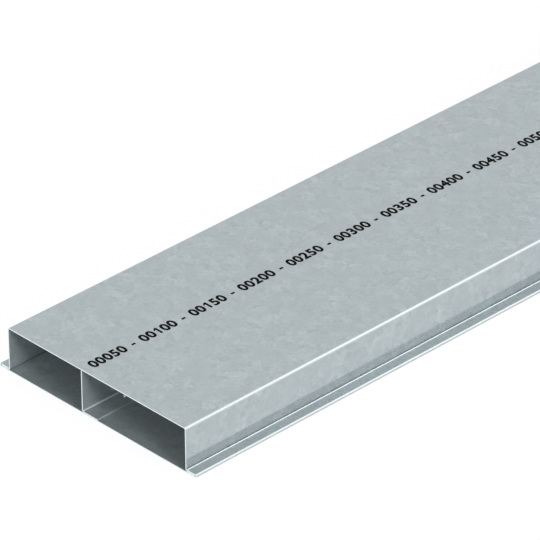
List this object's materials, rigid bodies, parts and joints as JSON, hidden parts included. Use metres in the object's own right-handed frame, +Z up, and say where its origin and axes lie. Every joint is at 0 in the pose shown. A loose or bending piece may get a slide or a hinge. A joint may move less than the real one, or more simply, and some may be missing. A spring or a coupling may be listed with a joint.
{
  "type": "underfloor trunking",
  "caption": "Flat closed steel trunking for cables under screed: hat-shaped cover seamed to a base plate, with an upright divider that splits it into a narrow and a wide compartment.",
  "frame": {"origin": "middle of the base plate's underside, halfway along the duct", "axes": "+Y along the duct, away from the open end shown in the picture; +X across it, towards the wider compartment; +Z up, out of the top face"},
  "size_m": [0.2108, 2, 0.038],
  "materials": {
    "cover_sheet": "strip-galvanised steel, smooth zinc with a faint fine spangle",
    "base_sheet": "strip-galvanised steel, smooth zinc with a faint fine spangle",
    "divider_sheet": "strip-galvanised steel, smooth zinc with a faint fine spangle"
  },
  "bodies": {
    "root": {"cover": "cover_sheet", "base_plate": "base_sheet", "divider": "divider_sheet"}
  },
  "joints": []
}
